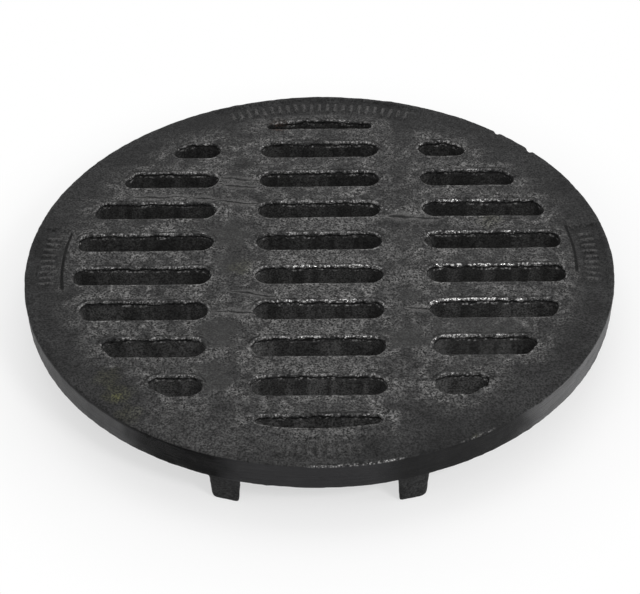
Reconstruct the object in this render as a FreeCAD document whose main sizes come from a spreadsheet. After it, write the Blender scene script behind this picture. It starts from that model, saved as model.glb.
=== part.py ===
"""Round cast-iron gully grate: one casting with three columns of slots, four sunk fields in its
rim and four locating lugs.

The origin is the middle of the plane that the lugs' feet lie in. +Z is up, the slots run along
X, the rows of slots follow each other along Y, and the long sunk field is at +Y.
"""
import FreeCAD, Part
import math
import os

import Sketcher

V = FreeCAD.Vector

# Driving dimensions in millimetres and degrees: name, value, meaning.
DIMENSIONS = [
    ("rim_diameter", 500.0, "outside of the rim at the walking face"),
    ("rim_thickness", 24.5, "from the walking face down to the seat"),
    ("rim_draft", 2.0, "the rim's side leans in by this angle on its way down"),
    ("rim_edge_bevel", 1.2, "bevel of the rim's upper edge"),
    ("seat_edge_bevel", 1.0, "bevel of the rim's lower edge"),
    ("ring_width", 41.25, "solid ring outside the slotted field"),
    ("row_count", 10, "rows of slots"),
    ("slot_width", 23.3, "across a slot at the walking face"),
    ("centre_slot_length", 108.5, "over the round ends of a slot in the middle column"),
    ("spine_width", 36.75, "solid strip between two columns of slots"),
    ("slot_corner_radius", 8.0, "rounding where a side slot meets the edge of the slotted field"),
    ("end_slot_depth", 14.525, "the slots in the first and the last row, across their middle"),
    ("end_corner_radius", 4.8, "rounding of those two slots' corners"),
    ("slot_lip_bevel", 1.3, "bevel of a slot's upper edge"),
    ("panel_border", 5.5, "strip between a sunk field and the rim's edge"),
    ("panel_width", 25.7, "sunk field, along a radius"),
    ("panel_depth", 2.0, "sunk field, below the walking face"),
    ("short_panel_angle", 21.0, "arc of each of the three short sunk fields"),
    ("long_panel_angle", 47.5, "arc of the long sunk field"),
    ("lug_spacing", 143.75, "between the middles of two neighbouring lugs"),
    ("lug_width", 24.0, "lug, across, where it leaves the rim"),
    ("lug_reach", 20.0, "lug, inwards, where it leaves the rim"),
    ("lug_drop", 26.0, "lug, below the seat"),
    ("lug_setback", 3.0, "from the rim's edge in to a lug"),
    ("lug_draft", 3.0, "each side of a lug leans in by this angle on its way down"),
    ("lug_root_radius", 4.5, "rounding between the rim and a lug's sides"),
    ("lug_toe_radius", 5.0, "rounding of the foot's corner away from the other lug"),
    ("lug_heel_radius", 2.5, "rounding of the foot's corner towards the other lug"),
    ("lug_edge_bevel", 1.0, "bevel of a lug's other edges"),
    ("lug_root_depth", 5.0, "how far a lug is rooted in the rim"),
    ("overrun", 1.0, "how far a cutting shape stands out of the face that it opens"),
]

# Cells that follow from the ones above, so that the features share them.
DERIVED = [
    ("rim_radius", "rim_diameter / 2"),
    ("rim_foot_radius", "rim_radius - rim_thickness * tan(rim_draft)"),
    ("top_height", "lug_drop + rim_thickness"),
    ("field_radius", "rim_radius - ring_width"),
    ("panel_outer_radius", "rim_radius - panel_border"),
    ("panel_inner_radius", "panel_outer_radius - panel_width"),
    ("core_length", "rim_thickness + overrun"),
    ("slot_half_width", "slot_width / 2"),
    ("centre_slot_turn", "centre_slot_length / 2 - slot_half_width"),
    ("side_slot_turn", "centre_slot_length / 2 + spine_width + slot_half_width"),
    ("full_rows", "row_count - 2"),
    ("end_slot_side", "field_radius - end_slot_depth"),
    ("slot_pitch", "(end_slot_side + slot_half_width) / (row_count - 1) * 2"),
    ("last_full_row", "(full_rows - 1) / 2 * slot_pitch"),
    ("full_rows_span", "(full_rows - 1) * slot_pitch"),
    ("corner_circle", "field_radius - slot_corner_radius"),
    ("last_side_row", "sqrt(corner_circle^2 - side_slot_turn^2) + slot_corner_radius - slot_half_width"),
    ("side_rows", "min(full_rows / 2; floor(last_side_row / slot_pitch + 0.5))"),
    ("lug_middle", "lug_spacing / 2"),
    ("lug_half_width", "lug_width / 2"),
    ("lug_half_head", "lug_half_width + lug_root_radius + overrun"),
    ("lug_half_foot", "lug_half_width - lug_drop * tan(lug_draft)"),
    ("lug_outer_radius", "rim_radius - lug_setback"),
    ("lug_inner_radius", "lug_outer_radius - lug_reach"),
    ("lug_root_top", "lug_drop + lug_root_depth"),
    ("lug_face_head", "lug_outer_radius + (lug_root_depth + overrun) * tan(lug_draft)"),
    ("lug_face_foot", "lug_outer_radius - (lug_drop + overrun) * tan(lug_draft)"),
    ("lug_back_head", "lug_inner_radius - (lug_root_depth + overrun) * tan(lug_draft)"),
    ("lug_back_foot", "lug_inner_radius + (lug_drop + overrun) * tan(lug_draft)"),
    ("lug_block_start", "lug_inner_radius - lug_middle / 2"),
    ("lug_block_length", "rim_radius - lug_block_start"),
]

NEAR = 1e-3     # places closer than this are the same
FUZZ = 1e-5     # how far apart two touching faces may be when solids are combined

doc = FreeCAD.newDocument("gully_grate")
dims = doc.addObject("Spreadsheet::Sheet", "dims")


def fill_sheet():
    """Writes the driving cells as plain numbers and the derived ones as formulas."""
    cells = [(name, f"{value:g}", meaning) for name, value, meaning in DIMENSIONS]
    cells += [(name, f"={formula}", "derived") for name, formula in DERIVED]
    for row, (name, content, meaning) in enumerate(cells, 1):
        dims.set(f"A{row}", meaning)
        dims.set(f"B{row}", content)
        dims.setAlias(f"B{row}", name)
    doc.recompute()


def size(name):
    """The value of a cell, as a plain number."""
    return float(dims.get(name))


def bind(item, **cells):
    """Drives properties of an object by cells."""
    for prop, cell in cells.items():
        item.setExpression(prop, f"dims.{cell}")


def new_body(name):
    """A body that may hold separate solids, such as a set of cores."""
    body = doc.addObject("PartDesign::Body", name)
    body.AllowCompound = True
    return body


def datum(body, role):
    """A plane or an axis of the body's own origin."""
    return next(item for item in body.Origin.OriginFeatures if item.Role == role)


def new_sketch(body, name, plane, height=None):
    """A sketch on one of the body's origin planes, moved along that plane's normal by a cell."""
    sketch = body.newObject("Sketcher::SketchObject", name)
    sketch.AttachmentSupport = [(datum(body, plane), "")]
    sketch.MapMode = "FlatFace"
    if height:
        sketch.setExpression("AttachmentOffset.Base.z", f"dims.{height}")
    doc.recompute()
    return sketch


def tie(sketch, kind, *places):
    """Adds a constraint that has no size."""
    sketch.addConstraint(Sketcher.Constraint(kind, *places))


def measure(sketch, name, formula, kind, *places):
    """Adds a constraint whose size is driven by a formula of cells, in millimetres or degrees."""
    value = float(sketch.evalExpression(formula))
    if kind == "Angle":
        value = math.radians(value)
        formula = f"({formula}) * 1 deg"
    index = sketch.addConstraint(Sketcher.Constraint(kind, *places, value))
    sketch.renameConstraint(index, name)
    sketch.setExpression(f"Constraints.{name}", formula)


def line(sketch, start, end):
    """Adds a straight line and returns its number."""
    return sketch.addGeometry(Part.LineSegment(V(*start, 0), V(*end, 0)), False)


def arc(sketch, centre, radius, start, end):
    """Adds an arc, counter-clockwise between two angles in degrees, and returns its number."""
    circle = Part.Circle(V(*centre, 0), V(0, 0, 1), radius)
    turn = Part.ArcOfCircle(circle, math.radians(start), math.radians(end))
    return sketch.addGeometry(turn, False)


def polygon(sketch, points):
    """Adds straight lines through the points and back to the first, and returns their numbers."""
    count = len(points)
    sides = [line(sketch, points[k], points[(k + 1) % count]) for k in range(count)]
    for k in range(count):
        tie(sketch, "Coincident", sides[k], 2, sides[(k + 1) % count], 1)
    return sides


def settle(body, feature):
    """Makes the feature the body's result."""
    doc.recompute()
    body.Tip = feature
    doc.recompute()
    return feature


def round_edges(body, name, base, radius, wanted, kind="Fillet"):
    """Rounds or bevels the edges of a feature that the test accepts, by the size in a cell."""
    edges = [f"Edge{n}" for n, edge in enumerate(base.Shape.Edges, 1) if wanted(edge)]
    if not edges:
        raise ValueError(f"{name} finds no edge")
    feature = body.newObject(f"PartDesign::{kind}", name)
    feature.Base = (base, edges)
    if kind == "Fillet":
        bind(feature, Radius=radius)
    else:
        bind(feature, Size=radius)
    return settle(body, feature)


def samples(edge):
    """Both ends and the middle of an edge."""
    first, last = edge.ParameterRange
    return [edge.valueAt(first + (last - first) * part) for part in (0.0, 0.5, 1.0)]


def level(edge, height):
    """True for an edge that lies in the horizontal plane at a height."""
    return all(abs(point.z - height) < NEAR for point in samples(edge))


def reach(point):
    """Distance of a point from the Z axis."""
    return math.hypot(point.x, point.y)


# The disc and its rim


def make_disc():
    """The disc is turned, its edges are broken and four fields are sunk in its face."""
    body = new_body("grate")
    section = new_sketch(body, "disc_section", "XZ_Plane")
    seat, top = size("lug_drop"), size("top_height")
    foot, rim = size("rim_foot_radius"), size("rim_radius")
    under, side, face, middle = polygon(section, [(0, seat), (foot, seat), (rim, top), (0, top)])
    tie(section, "Horizontal", under)
    tie(section, "Horizontal", face)
    tie(section, "Vertical", middle)
    tie(section, "PointOnObject", under, 1, -2)
    measure(section, "foot", "dims.rim_foot_radius", "DistanceX", -1, 1, under, 2)
    measure(section, "rim", "dims.rim_radius", "DistanceX", -1, 1, side, 2)
    measure(section, "seat", "dims.lug_drop", "DistanceY", -1, 1, under, 2)
    measure(section, "top", "dims.top_height", "DistanceY", -1, 1, side, 2)
    turned = body.newObject("PartDesign::Revolution", "turned")
    turned.Profile = section
    turned.ReferenceAxis = (section, ["V_Axis"])
    turned.Angle = 360
    settle(body, turned)

    def at_rim(height, radius):
        return lambda edge: level(edge, height) and abs(reach(samples(edge)[0]) - radius) < NEAR

    upper = round_edges(body, "upper_edge", turned, "rim_edge_bevel", at_rim(top, rim), "Chamfer")
    round_edges(body, "lower_edge", upper, "seat_edge_bevel", at_rim(seat, foot), "Chamfer")
    sink_field(body, "right", 0, "short_panel_angle")
    sink_field(body, "back", 90, "long_panel_angle")
    sink_field(body, "left", 180, "short_panel_angle")
    sink_field(body, "front", 270, "short_panel_angle")
    return body


def sink_field(body, name, bearing, angle):
    """A shallow pocket between two radii, spread evenly about a bearing in degrees."""
    sketch = new_sketch(body, f"{name}_field_outline", "XY_Plane", "top_height")
    inner, outer = size("panel_inner_radius"), size("panel_outer_radius")
    start, end = bearing - size(angle) / 2, bearing + size(angle) / 2

    def at(radius, turn):
        return (radius * math.cos(math.radians(turn)), radius * math.sin(math.radians(turn)))

    far = arc(sketch, (0, 0), outer, start, end)
    near = arc(sketch, (0, 0), inner, start, end)
    first = line(sketch, at(inner, start), at(outer, start))
    last = line(sketch, at(inner, end), at(outer, end))
    for curve, corner in ((far, 2), (near, 1)):
        tie(sketch, "Coincident", curve, 3, -1, 1)
        tie(sketch, "Coincident", curve, 1, first, corner)
        tie(sketch, "Coincident", curve, 2, last, corner)
    tie(sketch, "PointOnObject", -1, 1, first)
    tie(sketch, "PointOnObject", -1, 1, last)
    tie(sketch, "Symmetric", far, 1, far, 2, -1 if bearing % 180 == 0 else -2)
    measure(sketch, "outer", "dims.panel_outer_radius", "Radius", far)
    measure(sketch, "inner", "dims.panel_inner_radius", "Radius", near)
    measure(sketch, "spread", f"dims.{angle}", "Angle", first, 1, last, 1)
    doc.recompute()
    pocket = body.newObject("PartDesign::Pocket", f"{name}_field")
    pocket.Profile = sketch
    bind(pocket, Length="panel_depth")
    return settle(body, pocket)


# The slots


def make_slot_cores():
    """Every slot as a solid core. The middle column has the same slot in every full row, and a
    flat segment in the first and the last row. The side columns end at the round edge of the
    slotted field, so each of their rows has an outline of its own, as far out as there is
    room for a slot."""
    body = new_body("slot_cores")
    centre = drop_core(body, "centre_core", centre_outline(body))
    rows = body.newObject("PartDesign::LinearPattern", "centre_rows")
    rows.Originals = [centre]
    rows.Direction = (datum(body, "Y_Axis"), [""])
    rows.Reversed = True
    bind(rows, Length="full_rows_span", Occurrences="full_rows")
    settle(body, rows)
    end = drop_core(body, "end_core", end_outline(body))
    mirror(body, "both_ends", end, "XZ_Plane")
    sides = [
        drop_core(body, f"side_core_{row}", side_outline(body, row))
        for row in range(1, int(size("side_rows")) + 1)
    ]
    spread = body.newObject("PartDesign::MultiTransform", "side_cores")
    spread.Originals = sides
    steps = [body.newObject("PartDesign::Mirrored", f"{name}_sides") for name in ("both", "all")]
    for step, plane in zip(steps, ("YZ_Plane", "XZ_Plane")):
        step.MirrorPlane = (datum(body, plane), [""])
    spread.Transformations = steps
    settle(body, spread)
    return body


def drop_core(body, name, outline):
    """Extrudes an outline through the plate, and past both of its faces."""
    core = body.newObject("PartDesign::Pad", name)
    core.Profile = outline
    core.Reversed = True
    core.SideType = "Two sides"
    bind(core, Length="core_length", Length2="overrun")
    return settle(body, core)


def mirror(body, name, feature, plane):
    """Repeats a feature on the other side of one of the body's origin planes."""
    mirrored = body.newObject("PartDesign::Mirrored", name)
    mirrored.Originals = [feature]
    mirrored.MirrorPlane = (datum(body, plane), [""])
    return settle(body, mirrored)


def centre_outline(body):
    """A slot of the middle column, in the last full row: straight, with two round ends."""
    sketch = new_sketch(body, "centre_outline", "XY_Plane", "top_height")
    radius, row, end = size("slot_half_width"), size("last_full_row"), size("centre_slot_turn")
    near = line(sketch, (-end, row - radius), (end, row - radius))
    far = line(sketch, (-end, row + radius), (end, row + radius))
    right = arc(sketch, (end, row), radius, -90, 90)
    left = arc(sketch, (-end, row), radius, 90, 270)
    tie(sketch, "Tangent", near, 2, right, 1)
    tie(sketch, "Tangent", right, 2, far, 2)
    tie(sketch, "Tangent", far, 1, left, 1)
    tie(sketch, "Tangent", left, 2, near, 1)
    tie(sketch, "Horizontal", near)
    tie(sketch, "Symmetric", right, 3, left, 3, -2)
    measure(sketch, "half_width", "dims.slot_half_width", "Radius", right)
    measure(sketch, "row", "dims.last_full_row", "DistanceY", -1, 1, right, 3)
    measure(sketch, "turn", "dims.centre_slot_turn", "DistanceX", -1, 1, right, 3)
    doc.recompute()
    return sketch


def end_outline(body):
    """The flat segment in the last row: a straight side towards the middle of the grate, the
    edge of the slotted field, and small round corners between them."""
    sketch = new_sketch(body, "end_outline", "XY_Plane", "top_height")
    radius, field = size("end_corner_radius"), size("field_radius")
    near_y = size("end_slot_side")
    x = math.sqrt((field - radius) ** 2 - (near_y + radius) ** 2)
    turn = math.degrees(math.atan2(near_y + radius, x))
    near = line(sketch, (-x, near_y), (x, near_y))
    right = arc(sketch, (x, near_y + radius), radius, -90, turn)
    far = arc(sketch, (0, 0), field, turn, 180 - turn)
    left = arc(sketch, (-x, near_y + radius), radius, 180 - turn, 270)
    tie(sketch, "Coincident", far, 3, -1, 1)
    tie(sketch, "Tangent", near, 2, right, 1)
    tie(sketch, "Tangent", right, 2, far, 1)
    tie(sketch, "Tangent", far, 2, left, 1)
    tie(sketch, "Tangent", left, 2, near, 1)
    tie(sketch, "Horizontal", near)
    tie(sketch, "Equal", left, right)
    measure(sketch, "corner", "dims.end_corner_radius", "Radius", right)
    measure(sketch, "field", "dims.field_radius", "Radius", far)
    measure(sketch, "near", "dims.end_slot_side", "DistanceY", -1, 1, near, 1)
    doc.recompute()
    return sketch


def side_outline(body, row):
    """A slot of the right column, counted from the middle of the grate: a round inner end, two
    straight sides, and an outer end on the edge of the slotted field with round corners."""
    sketch = new_sketch(body, f"side_outline_{row}", "XY_Plane", "top_height")
    half, start = size("slot_half_width"), size("side_slot_turn")
    radius, turns = size("slot_corner_radius"), size("corner_circle")
    middle = (row - 0.5) * size("slot_pitch")
    low, high = middle - half, middle + half
    low_x, high_x = (math.sqrt(turns ** 2 - y ** 2) for y in (low + radius, high - radius))
    low_turn = math.degrees(math.atan2(low + radius, low_x))
    high_turn = math.degrees(math.atan2(high - radius, high_x))
    near = line(sketch, (start, low), (low_x, low))
    low_corner = arc(sketch, (low_x, low + radius), radius, -90, low_turn)
    outer = arc(sketch, (0, 0), size("field_radius"), low_turn, high_turn)
    high_corner = arc(sketch, (high_x, high - radius), radius, high_turn, 90)
    far = line(sketch, (high_x, high), (start, high))
    inner = arc(sketch, (start, middle), half, 90, 270)
    loop = ((near, 2, low_corner, 1), (low_corner, 2, outer, 1), (outer, 2, high_corner, 1),
            (high_corner, 2, far, 1), (far, 2, inner, 1), (inner, 2, near, 1))
    for corner in loop:
        tie(sketch, "Tangent", *corner)
    tie(sketch, "Coincident", outer, 3, -1, 1)
    tie(sketch, "Horizontal", near)
    tie(sketch, "Horizontal", far)
    tie(sketch, "Equal", low_corner, high_corner)
    measure(sketch, "half_width", "dims.slot_half_width", "Radius", inner)
    measure(sketch, "corner", "dims.slot_corner_radius", "Radius", low_corner)
    measure(sketch, "field", "dims.field_radius", "Radius", outer)
    measure(sketch, "start", "dims.side_slot_turn", "DistanceX", -1, 1, inner, 3)
    measure(sketch, "row", f"{row - 0.5:g} * dims.slot_pitch", "DistanceY", -1, 1, inner, 3)
    doc.recompute()
    return sketch


# The lugs


def make_lugs():
    """Four lugs under the rim, two at the front and two at the back. Each has its head in the
    rim, sides that lean in, and an outer face and a back that follow the rim."""
    body = new_body("lugs")
    block = body.newObject("PartDesign::Pad", "lug_block")
    block.Profile = lug_profile(body)
    bind(block, Length="lug_block_length")
    settle(body, block)
    middle, seat = size("lug_middle"), size("lug_drop")

    def along_y(*places):
        def test(edge):
            ends = samples(edge)
            return any(
                all(abs(end.x - x) < NEAR and abs(end.z - z) < NEAR for end in ends)
                for x, z in places
            )
        return test

    half, foot = size("lug_half_width"), size("lug_half_foot")
    at_rim = along_y((middle - half, seat), (middle + half, seat))
    rooted = round_edges(body, "side_roots", block, "lug_root_radius", at_rim)
    toe = round_edges(body, "toe", rooted, "lug_toe_radius", along_y((middle + foot, 0)))
    round_edges(body, "heel", toe, "lug_heel_radius", along_y((middle - foot, 0)))

    trimmed = body.newObject("PartDesign::Groove", "trimmed")
    trimmed.Profile = lug_trim(body)
    trimmed.ReferenceAxis = (trimmed.Profile[0], ["V_Axis"])
    trimmed.Angle = 360
    settle(body, trimmed)
    cones = [face for face in trimmed.Shape.Faces if isinstance(face.Surface, Part.Cone)]

    def at_cone(edge):
        low = all(point.z < seat - size("lug_root_radius") for point in samples(edge))
        return low and any(edge.isSame(side) for face in cones for side in face.Edges)

    round_edges(body, "lug_edges", trimmed, "lug_edge_bevel", at_cone, "Chamfer")
    for name, plane in (("front_lugs", "YZ_Plane"), ("all_lugs", "XZ_Plane")):
        mirrored = body.newObject("PartDesign::Mirrored", name)
        mirrored.TransformMode = "Whole shape"
        mirrored.MirrorPlane = (datum(body, plane), [""])
        settle(body, mirrored)
    return body


def lug_profile(body):
    """Front view of a lug: the head that is rooted in the rim, and the lug below it."""
    sketch = new_sketch(body, "lug_profile", "XZ_Plane", "lug_block_start")
    middle, seat, root = size("lug_middle"), size("lug_drop"), size("lug_root_top")
    head, half, foot = size("lug_half_head"), size("lug_half_width"), size("lug_half_foot")
    right = [(foot, 0), (half, seat), (head, seat), (head, root)]
    points = [(middle + x, z) for x, z in right] + [(middle - x, z) for x, z in right[::-1]]
    sides = polygon(sketch, points)
    for k in (1, 3, 5, 7):
        tie(sketch, "Horizontal", sides[k])
    for k in (2, 4):
        tie(sketch, "Vertical", sides[k])
    tie(sketch, "PointOnObject", sides[7], 1, -1)
    tie(sketch, "Horizontal", sides[1], 1, sides[5], 2)
    measure(sketch, "seat", "dims.lug_drop", "DistanceY", -1, 1, sides[1], 1)
    measure(sketch, "root", "dims.lug_root_top", "DistanceY", -1, 1, sides[3], 1)
    cells = ("lug_half_foot", "lug_half_width", "lug_half_head")
    for k, cell in zip((0, 1, 2), cells):
        measure(sketch, f"far_{cell}", f"dims.lug_middle + dims.{cell}", "DistanceX", -1, 1, sides[k], 1)
    for k, cell in zip((7, 6, 5), cells):
        measure(sketch, f"near_{cell}", f"dims.lug_middle - dims.{cell}", "DistanceX", -1, 1, sides[k], 1)
    doc.recompute()
    return sketch


def lug_trim(body):
    """Section of what is turned away from the block, outside the outer face and inside the
    back. Both faces lean in on their way down."""
    sketch = new_sketch(body, "lug_trim", "XZ_Plane")
    for name, far in (("face", "rim_diameter"), ("back", "lug_block_start")):
        head_x, foot_x, far_x = (size(cell) for cell in (f"lug_{name}_head", f"lug_{name}_foot", far))
        top, bottom = size("lug_root_top") + size("overrun"), -size("overrun")
        over, down, under, leaning = polygon(
            sketch, [(head_x, top), (far_x, top), (far_x, bottom), (foot_x, bottom)]
        )
        tie(sketch, "Horizontal", over)
        tie(sketch, "Vertical", down)
        tie(sketch, "Horizontal", under)
        measure(sketch, f"{name}_top", "dims.lug_root_top + dims.overrun", "DistanceY", -1, 1, over, 1)
        measure(sketch, f"{name}_bottom", "dims.overrun", "DistanceY", under, 1, -1, 1)
        measure(sketch, f"{name}_head", f"dims.lug_{name}_head", "DistanceX", -1, 1, over, 1)
        measure(sketch, f"{name}_foot", f"dims.lug_{name}_foot", "DistanceX", -1, 1, leaning, 1)
        measure(sketch, f"{name}_far", f"dims.{far}", "DistanceX", -1, 1, down, 1)
    doc.recompute()
    return sketch


# The casting


def combine(body, name, kind, tool):
    """Cuts another body's solids out of this one, or fuses them to it."""
    result = body.newObject("PartDesign::Boolean", name)
    result.Type = kind
    result.FuzzyTolerance = FUZZ
    result.setObjects([tool])
    return settle(body, result)


def pierce(body, cores):
    """Opens the slots in the plate and breaks their upper edges."""
    pierced = combine(body, "pierced", "Cut", cores)
    top, limit = size("top_height"), (size("field_radius") + size("panel_inner_radius")) / 2

    def at_slot(edge):
        return level(edge, top) and all(reach(point) < limit for point in samples(edge))

    round_edges(body, "slot_lips", pierced, "slot_lip_bevel", at_slot, "Chamfer")


def check(body):
    """Stops if any feature has failed or if the casting is not one sound solid."""
    failed = [item.Label for item in doc.Objects if {"Invalid", "Error"} & set(item.State)]
    if failed:
        raise ValueError(f"features have failed: {failed}")
    loose = [item.Label for item in doc.Objects if not getattr(item, "FullyConstrained", True)]
    if loose:
        raise ValueError(f"sketches are not fixed: {loose}")
    shape = body.Shape
    if shape.isNull() or not shape.isValid() or len(shape.Solids) != 1:
        raise ValueError("the casting is not one sound solid")


def main():
    fill_sheet()
    grate = make_disc()
    pierce(grate, make_slot_cores())
    combine(grate, "with_lugs", "Fuse", make_lugs())
    grate.Label = "grate"
    grate.Placement = FreeCAD.Placement()
    doc.recompute()
    check(grate)
    os.makedirs("parts", exist_ok=True)
    grate.Shape.exportStep(f"parts/{grate.Label}.step")


if __name__ == "__main__":
    main()
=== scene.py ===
"""Looks of the round cast-iron gully grate: its rough cast skin, its worn black coat and a studio."""

import logging
import math
from dataclasses import dataclass, field
from enum import Enum

import bpy
import numpy as np
from mathutils import Matrix, Vector


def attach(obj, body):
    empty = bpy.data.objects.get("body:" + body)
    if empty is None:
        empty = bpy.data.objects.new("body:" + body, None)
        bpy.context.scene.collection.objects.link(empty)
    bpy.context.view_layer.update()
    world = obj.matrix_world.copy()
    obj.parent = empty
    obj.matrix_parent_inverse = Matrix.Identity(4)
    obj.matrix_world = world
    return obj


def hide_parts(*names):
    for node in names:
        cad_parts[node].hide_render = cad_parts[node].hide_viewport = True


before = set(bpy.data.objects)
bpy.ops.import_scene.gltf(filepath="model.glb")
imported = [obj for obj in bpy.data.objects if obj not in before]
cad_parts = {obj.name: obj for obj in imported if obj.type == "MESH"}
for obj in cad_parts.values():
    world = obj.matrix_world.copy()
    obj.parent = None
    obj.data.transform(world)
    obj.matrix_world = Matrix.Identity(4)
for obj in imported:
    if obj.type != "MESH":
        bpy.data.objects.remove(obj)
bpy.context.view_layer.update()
LOG = logging.getLogger("gully_grate")

Color = tuple[float, float, float]
Point = tuple[float, float]


class Zone(Enum):
    """Parts of the casting's skin that are roughened by different amounts."""

    ALL = "whole_skin"
    LIP = "slot_lips"
    NEAR_LIP = "near_lips"


class SkinMap(Enum):
    """Numbers stored on the skin for the finish to read."""

    SLOT = "slot_distance"
    FAR = "far_side"
    RELIEF = "raised_relief"


def smooth_step(low: float, high: float, value: np.ndarray) -> np.ndarray:
    """Rises smoothly from 0 at low to 1 at high.

    Args:
        low: Where the rise starts.
        high: Where it ends; may be the smaller one, for a fall.
        value: The numbers to map.

    Returns:
        Numbers from 0 to 1.
    """
    t = np.clip((value - low) / (high - low), 0, 1)
    return t * t * (3 - 2 * t)


@dataclass(frozen=True)
class GratePlan:
    """Sizes of the grate in metres, as the solid has them."""

    rim_radius: float = 0.250
    top: float = 0.0505
    seat: float = 0.026
    field_radius: float = 0.20875
    pitch: float = 0.04575
    slot_half: float = 0.01165
    centre_turn: float = 0.0426
    side_turn: float = 0.10265
    side_corner: float = 0.008
    end_side: float = 0.194225
    end_corner: float = 0.0048
    panel_inner: float = 0.2188
    panel_outer: float = 0.2445
    panel_depth: float = 0.002
    full_rows: int = 4
    panels: tuple[Point, ...] = ((0.0, 10.5), (180.0, 10.5), (270.0, 10.5), (90.0, 23.75))

    def slot_distance(self, points: np.ndarray) -> np.ndarray:
        """Distance from each point to the nearest slot's edge, seen from above.

        Args:
            points: Rows of x, y, z in metres.

        Returns:
            Metres, positive over iron and negative over a slot.
        """
        x, y = np.abs(points[:, 0]), np.abs(points[:, 1])
        row = np.clip(np.floor(y / self.pitch), 0, self.full_rows - 1)
        middle = (row + 0.5) * self.pitch
        centre = np.hypot(np.maximum(x - self.centre_turn, 0), y - middle) - self.slot_half
        inner = np.hypot(x - self.side_turn, y - middle) - self.slot_half
        reach = self.slot_half - self.side_corner
        outer = self.field_edge_distance(x, y, (middle - reach, middle + reach), self.side_corner)
        side = np.where(x < self.side_turn, inner, outer)
        first = np.full(len(x), self.end_side + self.end_corner)
        end = self.field_edge_distance(x, y, (first, first + 1), self.end_corner)
        return np.minimum(np.minimum(centre, side), end)

    def field_edge_distance(self, x: np.ndarray, y: np.ndarray, band: tuple[np.ndarray, np.ndarray],
                            corner: float) -> np.ndarray:
        """Distance to a slot that ends on the round edge of the slotted field.

        Args:
            x: Positions along the slot, in metres.
            y: Positions across it.
            band: The lines on which the centres of the slot's corners lie.
            corner: Radius of those corners.

        Returns:
            Metres, negative inside the slot.
        """
        low, high = band
        limit = self.field_radius - corner
        radius = np.hypot(x, y)
        flat = np.clip(y, low, high)
        turned = y * limit / np.maximum(radius, 1e-9)
        corner_y = np.where(np.abs(y - low) < np.abs(y - high), low, high)
        corner_x = np.sqrt(np.maximum(limit ** 2 - corner_y ** 2, 0))
        to_arc = np.where((turned >= low) & (turned <= high), radius - limit,
                          np.hypot(x - corner_x, y - corner_y))
        outside = np.where(np.hypot(x, flat) <= limit, np.abs(y - flat), to_arc)
        inside = np.maximum(np.maximum(low - y, y - high), radius - limit)
        return np.where(inside < 0, inside, outside) - corner

    def far_side(self, points: np.ndarray) -> np.ndarray:
        """Which side of its slot each point lies on, seen from the front.

        Args:
            points: Rows of x, y, z in metres.

        Returns:
            1 on the back side of a slot, 0 on its front side.
        """
        y = points[:, 1]
        row = np.clip(np.floor(y / self.pitch), -self.full_rows, self.full_rows - 1)
        middle = (row + 0.5) * self.pitch
        end_middle = (self.end_side + self.field_radius) / 2
        outside = np.abs(y) > self.full_rows * self.pitch
        middle = np.where(outside, np.sign(y) * end_middle, middle)
        return smooth_step(-0.008, 0.008, y - middle)

    def panel_reach(self, points: np.ndarray) -> np.ndarray:
        """How far inside a sunk field each point lies.

        Args:
            points: Rows of x, y, z in metres.

        Returns:
            Metres, negative outside the fields.
        """
        radius = np.hypot(points[:, 0], points[:, 1])
        bearing = np.degrees(np.arctan2(points[:, 1], points[:, 0]))
        along = np.full(len(points), -1.0)
        for middle, half in self.panels:
            away = np.abs((bearing - middle + 180) % 360 - 180)
            along = np.maximum(along, np.radians(half - away) * radius)
        return np.minimum(np.minimum(radius - self.panel_inner, self.panel_outer - radius), along)


PLAN = GratePlan()


def only(obj: bpy.types.Object) -> None:
    """Selects one object and nothing else.

    Args:
        obj: The object that the next operators work on.
    """
    bpy.ops.object.select_all(action="DESELECT")
    obj.select_set(True)
    bpy.context.view_layer.objects.active = obj


def apply_modifiers(obj: bpy.types.Object) -> None:
    """Applies all modifiers of an object, in order.

    Args:
        obj: The object whose mesh takes their result.
    """
    only(obj)
    for name in [modifier.name for modifier in obj.modifiers]:
        bpy.ops.object.modifier_apply(modifier=name)


def vertex_array(obj: bpy.types.Object) -> np.ndarray:
    """Vertex positions of an object that stands at the origin.

    Args:
        obj: The mesh object.

    Returns:
        Rows of x, y, z in metres.
    """
    flat = np.empty(len(obj.data.vertices) * 3)
    obj.data.vertices.foreach_get("co", flat)
    return flat.reshape(-1, 3)


def write_vertices(obj: bpy.types.Object, points: np.ndarray) -> None:
    """Writes vertex positions back to an object.

    Args:
        obj: The mesh object.
        points: Rows of x, y, z in metres.
    """
    obj.data.vertices.foreach_set("co", points.ravel())
    obj.data.update()


# Modelling


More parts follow.
